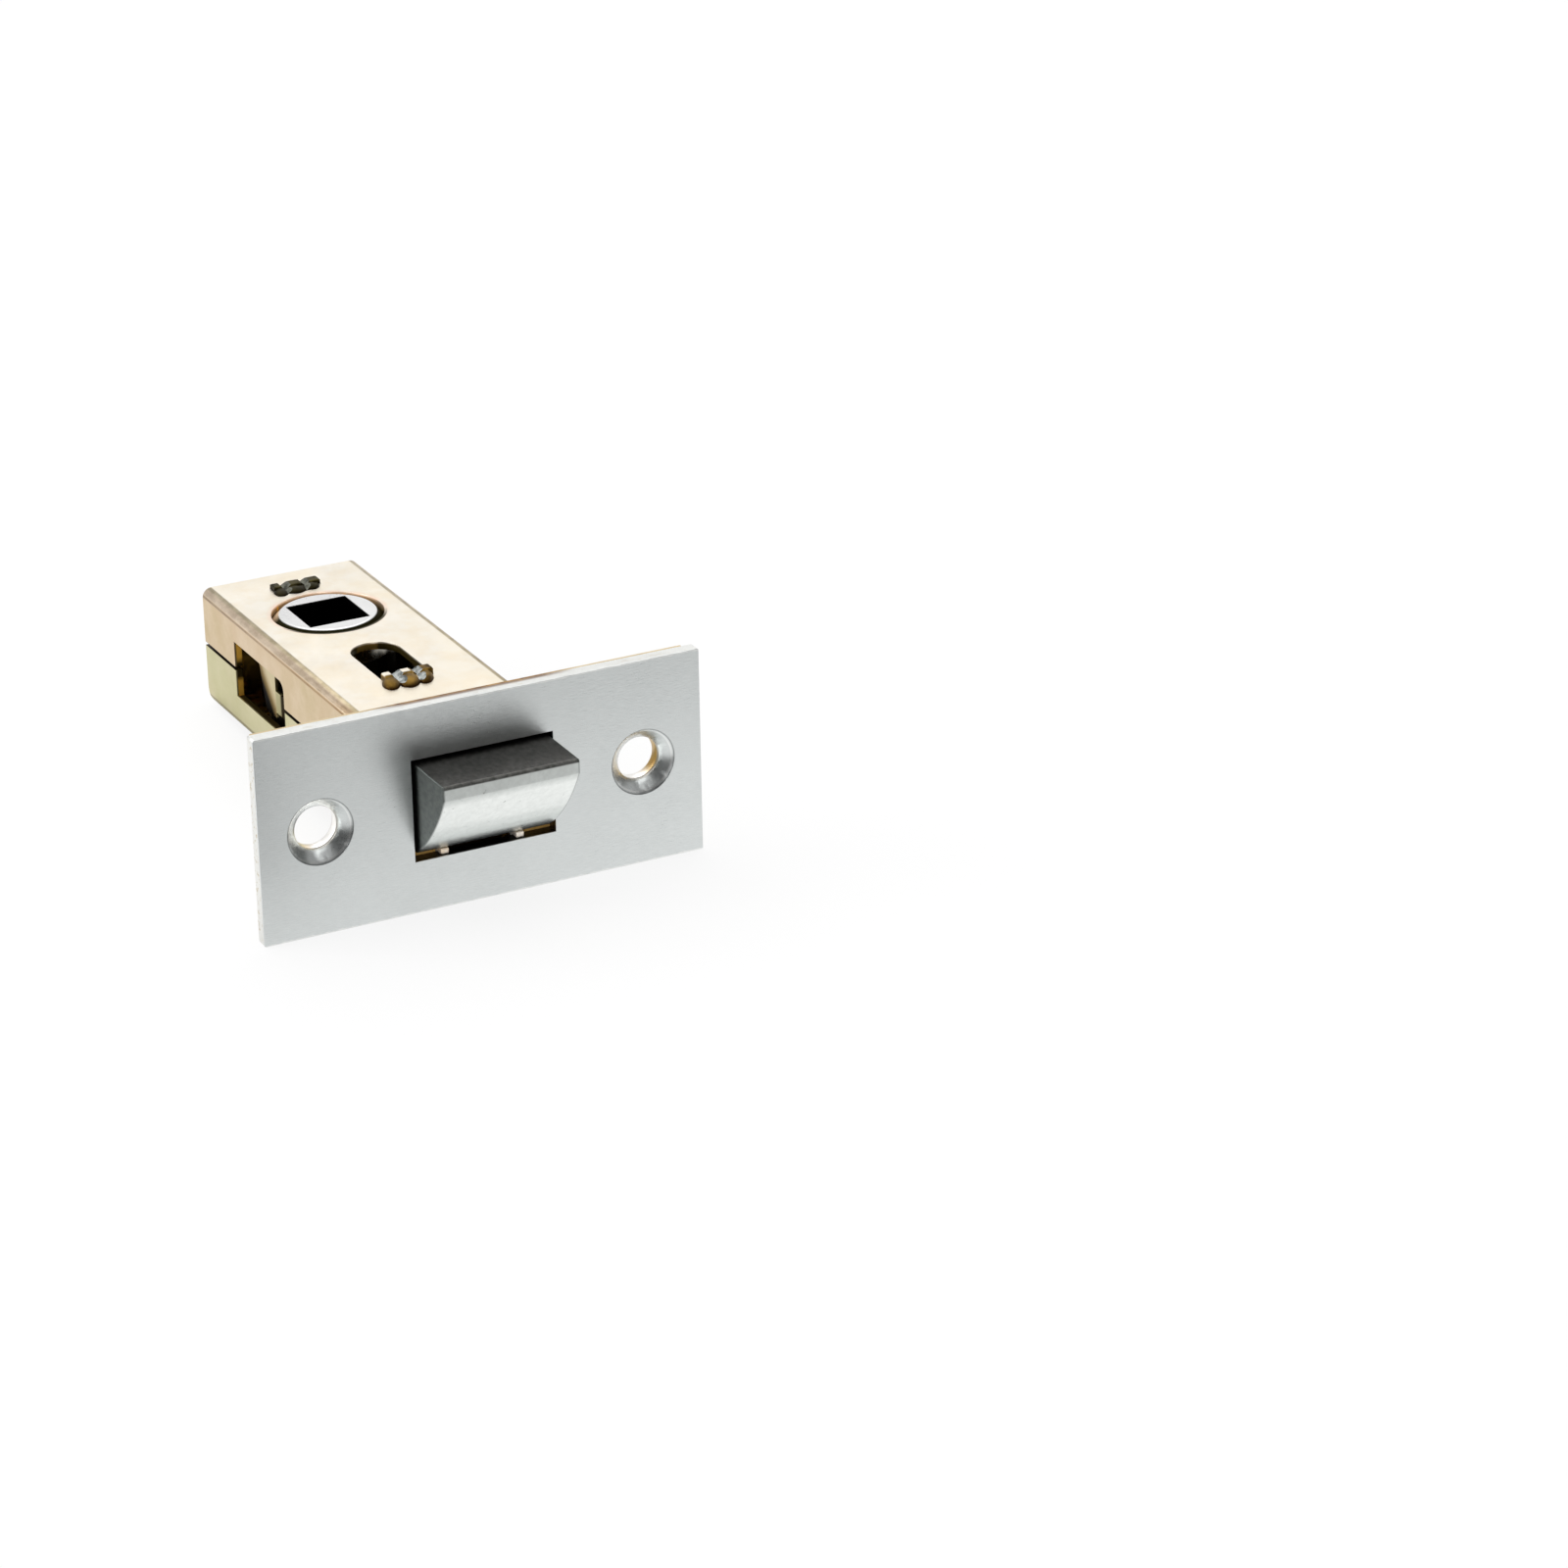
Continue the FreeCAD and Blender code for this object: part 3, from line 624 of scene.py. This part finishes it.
def follower_finish():
    """Bright cast zinc of the follower, with painted shade on the rim of its boss, its barrel and hub, and
    inside its square.
    """
    material, tree, shader = new_material("cast_zinc_follower")
    grain = place_grain(tree, EVEN, 2200.0, 0.24, 0.36)
    x, y, z = place_mm(tree)
    size_z = size_of(tree, z)
    colour = grain_tone(tree, grain, tint(240, 240, 240), tint(250, 250, 249))
    from_axis = size_of(tree, maths(tree, "SUBTRACT", y, FOLLOWER_Y))
    # The rim of the boss is painted as shade: near black at the front, pinkish tan behind.
    rim = spread(tree, distance(tree, x, from_axis), BOSS_CROWN_R + 0.04, BOSS_CROWN_R + 0.16)
    rear = spread(tree, y, FOLLOWER_Y + 0.9, FOLLOWER_Y + 2.8)
    rim_shade = mix_colour(tree, rear, tint(30, 28, 8), tint(200, 172, 142))
    colour = mix_colour(tree, rim, colour, rim_shade)
    # The barrel inside the case is painted grey and the hub near black, as painted shade.
    inner_shade = spread(tree, size_z, FLANGE_TOP + 0.15, FLANGE_TOP - 0.15)
    colour = mix_colour(tree, inner_shade, colour, tint(150, 147, 138))
    hub_shade = spread(tree, size_z, CAM_HALF_Z + 0.35, CAM_HALF_Z - 0.65)
    colour = mix_colour(tree, hub_shade, colour, tint(26, 23, 15))
    # The inside of the square is painted near black as painted shade.
    across = maths(tree, "MAXIMUM", size_of(tree, x), from_axis)
    below_top = spread(tree, size_z, BOSS_TOP - 0.04, BOSS_TOP - 0.20)
    square_shade = both(tree, spread(tree, across, SQUARE_HALF + 0.06, SQUARE_HALF + 0.02), below_top)
    colour = mix_colour(tree, square_shade, colour, tint(20, 20, 19))
    # The painted shade on the rim and the hub is kept dull, not metal.
    dull_shaded_rim = both(tree, rim, spread(tree, inner_shade, 1.0, 0.0))
    bare = maths(tree, "SUBTRACT", 1.0, maths(tree, "MAXIMUM", dull_shaded_rim, hub_shade))
    shader.inputs["IOR"].default_value = DULL_IOR
    finish_metal(tree, shader, colour, grain, 0.12, bare)
    return material


def spring_finish():
    """Drawn spring wire with a fine even grain."""
    material, tree, shader = new_material("spring_wire")
    grain = place_grain(tree, EVEN, 2400.0, 0.28, 0.40)
    colour = grain_tone(tree, grain, tint(150, 150, 152), tint(172, 172, 174))
    finish_metal(tree, shader, colour, grain, 0.10)
    return material


def dress(node_name, material):
    mesh = nodes[node_name].data
    mesh.materials.clear()
    mesh.materials.append(material)


# Distance within which loose triangles are welded, and the angles of flat faces and of sharp edges
WELD_DISTANCE = 0.000002
FLAT_ANGLE = math.radians(0.5)
SHARP_ANGLE = math.radians(40)


def soften_edges(node_name, width, segments=2, clamp=True):
    """Welds the loose triangles and breaks the sharp edges of a piece by a width in millimetres."""
    piece = nodes[node_name]
    weld = piece.modifiers.new("weld", "WELD")
    weld.merge_threshold = WELD_DISTANCE
    dissolve = piece.modifiers.new("flat_faces", "DECIMATE")
    dissolve.decimate_type = "DISSOLVE"
    dissolve.angle_limit = FLAT_ANGLE
    edge = piece.modifiers.new("broken_edges", "BEVEL")
    edge.width = width * MM
    edge.segments = segments
    edge.limit_method = "ANGLE"
    edge.angle_limit = SHARP_ANGLE
    edge.use_clamp_overlap = clamp
    edge.harden_normals = True


# Finishes of the posts' heads: gold in front, olive behind, with grey and bright struck metal; the olive and
# grey are darker copies painted as shade, and the bright is a painted highlight.
peened_gold = post_finish("peened_gold", tint(70, 52, 18), tint(132, 103, 46), 0.36, 0.50,
                          metal=0.7, highlight_from=17.8, foot=tint(54, 35, 11))
shaded_peened_olive = post_finish("shaded_peened_olive", tint(40, 36, 16), tint(84, 76, 44), 0.36, 0.50,
                           metal=0.7, foot=tint(26, 22, 8))
struck_steel = post_finish("struck_steel", tint(74, 78, 76), tint(176, 180, 178), 0.28, 0.42, patch=1500.0)
shaded_struck_grey = post_finish("shaded_struck_grey", tint(50, 51, 42), tint(112, 113, 102), 0.30, 0.44, patch=1500.0)
struck_bright_highlight = post_finish("struck_bright_highlight", tint(246, 226, 200), tint(253, 250, 244), 0.24, 0.36, metal=0.4)
post_steel = post_finish("passivated_post", tint(104, 82, 36), tint(150, 122, 66), 0.32, 0.46)
spring_wire = spring_finish()

dress("faceplate", satin_plate_finish())
dress("forend_plate", forend_finish())
dress("upper_case", passivated_shell("passivated_upper_shell", True))
dress("lower_case", passivated_shell("passivated_lower_shell", False))
dress("front_post", post_steel)
dress("rear_post", shaded_peened_olive)
dress("drawbar", strap_finish())
dress("latch_bolt", bolt_finish())
dress("follower", follower_finish())

soften_edges("faceplate", 0.06)
for pressed in ("forend_plate", "upper_case", "lower_case", "front_post", "drawbar"):
    soften_edges(pressed, 0.08)
soften_edges("follower", 0.10)
# A wider edge would turn over a face at the bolt's end.
soften_edges("latch_bolt", 0.14, 3, False)


# New pieces, modelled by operators

# Depth to which new lumps reach into the shell, and the angle above which their edges stay sharp
LUMP_SUNK = 0.12
STAKE_SUNK = 0.10
STAKE_SHARP = math.radians(35)
SOFT_SHARP = math.radians(50)


def pick_only(piece):
    bpy.ops.object.select_all(action="DESELECT")
    piece.select_set(True)
    bpy.context.view_layer.objects.active = piece


def edit_start(piece):
    pick_only(piece)
    bpy.ops.object.mode_set(mode="EDIT")
    bpy.ops.mesh.select_all(action="SELECT")


def edit_end():
    bpy.ops.object.mode_set(mode="OBJECT")


def apply_modifier(piece, kind, **values):
    pick_only(piece)
    modifier = piece.modifiers.new(kind.lower(), kind)
    for key, value in values.items():
        setattr(modifier, key, value)
    bpy.ops.object.modifier_apply(modifier=modifier.name)


def settle(piece):
    """Puts a piece's place and size into its mesh."""
    pick_only(piece)
    bpy.ops.object.transform_apply(location=True, rotation=True, scale=True)


def join_pieces(name, pieces):
    bpy.ops.object.select_all(action="DESELECT")
    for piece in pieces:
        piece.select_set(True)
    bpy.context.view_layer.objects.active = pieces[0]
    bpy.ops.object.join()
    pieces[0].name = name
    pieces[0].data.name = name
    return pieces[0]


def make_lump(x, y, half_x, half_y, height, skew):
    """One lump of peened steel: a ball drawn out forwards and askew, flat below and sunk into the shell."""
    bpy.ops.object.select_all(action="DESELECT")
    centre = (x * MM, y * MM, (CASE_HALF_Z - LUMP_SUNK) * MM)
    bpy.ops.mesh.primitive_uv_sphere_add(segments=32, ring_count=18, radius=1.0 * MM, location=centre)
    lump = bpy.context.object
    edit_start(lump)
    bpy.ops.transform.resize(value=(half_x, half_y, height + LUMP_SUNK))
    bpy.ops.transform.rotate(value=math.radians(skew), orient_axis="Z", center_override=centre)
    edit_end()
    settle(lump)
    edit_start(lump)
    foot = (0, 0, (CASE_HALF_Z - STAKE_SUNK) * MM)
    bpy.ops.mesh.bisect(plane_co=foot, plane_no=(0, 0, 1), clear_inner=True, use_fill=True)
    edit_end()
    return lump


def make_block(x, y, z, bevel_width):
    """Bevelled bar between two limits on each axis, in millimetres."""
    bpy.ops.object.select_all(action="DESELECT")
    middle = [(a + b) / 2 * MM for a, b in (x, y, z)]
    bpy.ops.mesh.primitive_cube_add(size=1.0, location=middle)
    block = bpy.context.object
    edit_start(block)
    bpy.ops.transform.resize(value=[(b - a) * MM for a, b in (x, y, z)])
    bpy.ops.mesh.bevel(offset=bevel_width * MM, segments=2, affect="EDGES")
    edit_end()
    settle(block)
    return block


def make_chisel(x, y, tip_z, skin, struck):
    """Square bar on edge whose tip leaves the mark of a chisel across a stake."""
    bpy.ops.object.select_all(action="DESELECT")
    bpy.ops.mesh.primitive_cube_add(size=CHISEL_SIZE * MM, location=(x * MM, y * MM, tip_z * MM))
    chisel = bpy.context.object
    edit_start(chisel)
    tip = (x * MM, y * MM, tip_z * MM)
    bpy.ops.transform.rotate(value=math.radians(45), orient_axis="Y", center_override=tip)
    bpy.ops.transform.translate(value=(0, 0, CHISEL_SIZE / 2 * math.sqrt(2) * MM))
    bpy.ops.transform.resize(value=(1, CHISEL_STRETCH, 1), center_override=tip)
    bpy.ops.transform.rotate(value=math.radians(CHISEL_TILT), orient_axis="Y", center_override=tip)
    edit_end()
    settle(chisel)
    chisel.data.materials.append(skin)
    chisel.data.materials.append(struck)
    for face in chisel.data.polygons:
        face.material_index = 1
    return chisel


# Place, half sizes, height and skew of each lump, and the place, tilt and size of the chisel
FRONT_LUMPS = ((-2.75, 16.85, 1.10, 1.85, 0.78, 16), (-0.45, 16.75, 1.40, 2.05, 0.84, 18),
               (1.75, 16.75, 0.95, 1.85, 0.80, 24), (-0.3, 17.3, 3.0, 1.2, 0.72, 0))
REAR_LUMPS = ((-2.45, 51.8, 1.00, 1.45, 0.42, 18), (-0.60, 51.7, 1.40, 1.20, 0.48, 10),
              (1.60, 51.9, 1.10, 1.10, 0.48, 10), (-0.2, 51.9, 3.0, 1.1, 0.36, 0))
CHISEL_X = (-1.85, 0.65)
CHISEL_TILT = -17
CHISEL_SIZE = 2.6
CHISEL_STRETCH = 2.2


def make_stake(name, post_y, lumps, height, depth, skin, struck):
    """Peened end of a post on the upper shell: lumps driven forward by two chisel blows."""
    front = post_y - POST_T / 2
    back = post_y + POST_T / 2
    top = CASE_HALF_Z + height
    across = (-TAB_HALF_X, TAB_HALF_X)
    pieces = [make_block(across, (front, back + 0.05), (CASE_HALF_Z - STAKE_SUNK, top), 0.16)]
    for lump in lumps:
        pieces.append(make_lump(*lump))
    stake = join_pieces(name, pieces)
    apply_modifier(stake, "REMESH", mode="VOXEL", voxel_size=0.06 * MM, use_smooth_shade=True)
    apply_modifier(stake, "SMOOTH", factor=0.5, iterations=4)
    stake.data.materials.clear()
    stake.data.materials.append(skin)
    stake.data.materials.append(struck)
    for x in CHISEL_X:
        chisel = make_chisel(x, post_y - 0.3, top - depth, skin, struck)
        apply_modifier(stake, "BOOLEAN", operation="DIFFERENCE", object=chisel, solver="EXACT")
        bpy.data.objects.remove(chisel, do_unlink=True)
    pick_only(stake)
    bpy.ops.object.shade_smooth_by_angle(angle=STAKE_SHARP)
    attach(stake, "case")
    return stake


def copy_below(piece, name):
    """Mirror image of a piece on the lower shell, with its own mesh."""
    bpy.ops.object.select_all(action="DESELECT")
    other = piece.copy()
    other.data = piece.data.copy()
    other.parent = None
    other.name = name
    other.data.name = name
    bpy.context.scene.collection.objects.link(other)
    edit_start(other)
    bpy.ops.transform.mirror(constraint_axis=(False, False, True), center_override=(0, 0, 0))
    bpy.ops.mesh.normals_make_consistent(inside=False)
    edit_end()
    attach(other, "case")
    return other


# Middle and half width of the two lug ends
LUG_ENDS = {"lug_end_left": -5.1, "lug_end_right": 4.65}
LUG_HALF_X = 0.52


def make_lug_end(name, x):
    """Upset end of a lug, painted near white as a painted highlight: a finger bent forward over the sill of
    the bolt opening.
    """
    across = (x - LUG_HALF_X, x + LUG_HALF_X)
    back = FOREND_FRONT_Y + 0.8
    finger = make_block(across, (FOREND_FRONT_Y - 1.3, back), (-6.46, -5.74), 0.1)
    foot = make_block(across, (FOREND_FRONT_Y + 0.1, back), (-6.9, -5.9), 0.1)
    lug = join_pieces(name, [finger, foot])
    apply_modifier(lug, "REMESH", mode="VOXEL", voxel_size=0.05 * MM, use_smooth_shade=True)
    apply_modifier(lug, "SMOOTH", factor=0.5, iterations=6)
    bpy.ops.object.shade_smooth_by_angle(angle=SOFT_SHARP)
    lug.data.materials.append(struck_bright_highlight)
    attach(lug, "case")


front_stake = make_stake("front_stake_top", FRONT_POST_Y, FRONT_LUMPS, 0.85, 0.60, peened_gold, struck_steel)
rear_stake = make_stake("rear_stake_top", REAR_POST_Y, REAR_LUMPS, 0.58, 0.56, shaded_peened_olive, shaded_struck_grey)
copy_below(front_stake, "front_stake_bottom")
copy_below(rear_stake, "rear_stake_bottom")
for lug_name, lug_x in LUG_ENDS.items():
    make_lug_end(lug_name, lug_x)


def coil_part(start_y, turns, pitch):
    """Whole turns of round wire that climb along the bolt's axis from one place."""
    bpy.ops.object.select_all(action="DESELECT")
    start = (SPRING_R * MM, start_y * MM, 0)
    bpy.ops.mesh.primitive_circle_add(vertices=14, radius=WIRE_R * MM, location=start)
    part = bpy.context.object
    settle(part)
    apply_modifier(part, "SCREW", axis="Y", angle=2 * math.pi, screw_offset=pitch * MM, iterations=turns,
                   steps=40, render_steps=40)
    return part


def make_spring():
    """Round-wire coil spring with a closed turn at each end."""
    length = SPRING_BACK_Y - SPRING_FRONT_Y - 2 * WIRE_R
    closed = 2.0 * WIRE_R
    start = SPRING_FRONT_Y + WIRE_R
    free_pitch = (length - 2 * closed) / FREE_TURNS
    parts = [coil_part(start, 1, closed), coil_part(start + closed, FREE_TURNS, free_pitch),
             coil_part(start + length - closed, 1, closed)]
    spring = join_pieces("bolt_spring_wire", parts)
    edit_start(spring)
    bpy.ops.mesh.remove_doubles(threshold=0.00001)
    bpy.ops.mesh.fill_holes(sides=0)
    bpy.ops.mesh.select_all(action="SELECT")
    bpy.ops.mesh.normals_make_consistent(inside=False)
    edit_end()
    bpy.ops.object.shade_smooth_by_angle(angle=SOFT_SHARP)
    spring.data.materials.append(spring_wire)
    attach(spring, "case")
    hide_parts("bolt_spring")
    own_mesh(spring)


make_spring()


# Floor, world, lamps and camera

# Painted shadow under the case on the floor that metal sees in reflections
UNDER_HALF_X = 11.0
UNDER_MIDDLE_Y = 36.0
UNDER_HALF_Y = 24.0


def make_floor():
    """Pale floor that touches the lower edge of the forend and the rear stake."""
    front_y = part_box("faceplate")[0].y
    front_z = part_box("faceplate")[0].z
    rear_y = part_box("rear_post")[1].y
    rear_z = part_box("rear_post")[0].z
    tilt = math.atan2(rear_z - front_z, rear_y - front_y)
    bpy.ops.object.select_all(action="DESELECT")
    bpy.ops.mesh.primitive_plane_add(size=6.0, location=(0, front_y, front_z), rotation=(tilt, 0, 0))
    floor = bpy.context.object
    floor.name = "floor"
    material = bpy.data.materials.new("pale_floor")
    material.use_nodes = True
    tree = material.node_tree
    tree.nodes.clear()
    output = tree.nodes.new("ShaderNodeOutputMaterial")
    paper = tree.nodes.new("ShaderNodeBsdfDiffuse")
    paper.inputs["Color"].default_value = (0.94, 0.94, 0.94, 1)
    white = tree.nodes.new("ShaderNodeEmission")
    path = tree.nodes.new("ShaderNodeLightPath")
    # The camera sees a paler floor, which keeps a light shadow.
    seen = tree.nodes.new("ShaderNodeMixShader")
    tree.links.new(maths(tree, "MULTIPLY", path.outputs["Is Camera Ray"], 0.85), seen.inputs["Fac"])
    tree.links.new(paper.outputs["BSDF"], seen.inputs[1])
    tree.links.new(white.outputs["Emission"], seen.inputs[2])
    # The white that metal sees in the floor fades out under the latch as a painted shadow, and far in front
    # and to the front left as painted shade.
    glow = tree.nodes.new("ShaderNodeEmission")
    x, y, z = place_mm(tree)
    beside = maths(tree, "SUBTRACT", size_of(tree, x), UNDER_HALF_X)
    along = maths(tree, "SUBTRACT", size_of(tree, maths(tree, "SUBTRACT", y, UNDER_MIDDLE_Y)), UNDER_HALF_Y)
    clear = spread(tree, maths(tree, "MAXIMUM", beside, along), -3.0, 2.5, 0.04, 1.0)
    dim_left = both(tree, spread(tree, x, -11.0, -22.0, 0.0, 0.85), spread(tree, y, -20.0, -30.0))
    across = both(tree, spread(tree, x, -24.0, 36.0, 0.90, 1.0), maths(tree, "SUBTRACT", 1.0, dim_left))
    far = both(tree, spread(tree, y, -90.0, -15.0, 0.78, 1.0), spread(tree, y, -300.0, -90.0, 0.4, 1.0))
    before = spread(tree, y, 0.0, 12.0, 1.0, 0.0)
    rest = maths(tree, "SUBTRACT", 1.0, before)
    front = maths(tree, "ADD", both(tree, before, both(tree, across, far)), rest)
    tree.links.new(both(tree, clear, front), glow.inputs["Strength"])
    pick = tree.nodes.new("ShaderNodeMixShader")
    tree.links.new(path.outputs["Is Glossy Ray"], pick.inputs["Fac"])
    tree.links.new(seen.outputs["Shader"], pick.inputs[1])
    tree.links.new(glow.outputs["Emission"], pick.inputs[2])
    tree.links.new(pick.outputs["Shader"], output.inputs["Surface"])
    floor.data.materials.append(material)


def make_world():
    """White behind, above and to the right of the object, dark above and behind the camera."""
    world = bpy.data.worlds.new("studio")
    bpy.context.scene.world = world
    world.use_nodes = True
    tree = world.node_tree
    tree.nodes.clear()
    output = tree.nodes.new("ShaderNodeOutputWorld")
    sky = tree.nodes.new("ShaderNodeBackground")
    backdrop = tree.nodes.new("ShaderNodeBackground")
    backdrop.inputs["Color"].default_value = (1, 1, 1, 1)
    backdrop.inputs["Strength"].default_value = 1.0
    source = tree.nodes.new("ShaderNodeTexCoord")
    parts = tree.nodes.new("ShaderNodeSeparateXYZ")
    tree.links.new(source.outputs["Generated"], parts.inputs["Vector"])
    behind = spread(tree, parts.outputs["Y"], -0.35, 0.15, 0.06, 0.96)
    above = spread(tree, parts.outputs["Z"], 0.70, 0.95, 0.0, 0.9)
    right = spread(tree, parts.outputs["X"], 0.35, 0.80, 0.0, 0.65)
    brightest = maths(tree, "MAXIMUM", maths(tree, "MAXIMUM", behind, above), right)
    tree.links.new(brightest, sky.inputs["Strength"])
    path = tree.nodes.new("ShaderNodeLightPath")
    pick = tree.nodes.new("ShaderNodeMixShader")
    tree.links.new(path.outputs["Is Camera Ray"], pick.inputs["Fac"])
    tree.links.new(sky.outputs["Background"], pick.inputs[1])
    tree.links.new(backdrop.outputs["Background"], pick.inputs[2])
    tree.links.new(pick.outputs["Shader"], output.inputs["Surface"])


def make_lamp(name, place, aim, size, watts):
    light = bpy.data.lights.new(name, "AREA")
    light.shape = "SQUARE"
    light.size = size
    light.energy = watts
    lamp = bpy.data.objects.new(name, light)
    bpy.context.scene.collection.objects.link(lamp)
    lamp.location = place
    lamp.rotation_mode = "QUATERNION"
    lamp.rotation_quaternion = (Vector(aim) - Vector(place)).to_track_quat("-Z", "Y")
    lamp.visible_camera = False


def make_camera():
    back = Vector((math.sin(CAMERA_AZIMUTH) * math.cos(CAMERA_ELEVATION),
                   -math.cos(CAMERA_AZIMUTH) * math.cos(CAMERA_ELEVATION), math.sin(CAMERA_ELEVATION)))
    level_right = Vector((math.cos(CAMERA_AZIMUTH), math.sin(CAMERA_AZIMUTH), 0))
    level_up = back.cross(level_right)
    right = level_right * math.cos(CAMERA_ROLL) + level_up * math.sin(CAMERA_ROLL)
    up = level_up * math.cos(CAMERA_ROLL) - level_right * math.sin(CAMERA_ROLL)
    data = bpy.data.cameras.new("camera")
    data.lens = CAMERA_LENS
    data.sensor_width = CAMERA_SENSOR
    data.clip_start = 0.01
    data.clip_end = 20.0
    camera = bpy.data.objects.new("camera", data)
    bpy.context.scene.collection.objects.link(camera)
    turn = Matrix((right, up, back)).transposed().to_4x4()
    camera.matrix_world = Matrix.Translation(CAMERA_PLACE) @ turn
    bpy.context.scene.camera = camera


make_floor()
make_world()
make_lamp("overhead_softbox", (0.1, 0.25, 0.9), (0, 0.02, 0), 1.3, 6.8)
make_lamp("left_softbox", (-0.9, 0.35, 0.5), (0, 0.02, 0), 0.6, 4.5)
make_lamp("front_softbox", (-0.30, -0.85, 0.10), (0, 0.03, 0), 0.3, 2.0)
make_camera()

bpy.context.scene.view_settings.view_transform = "Standard"
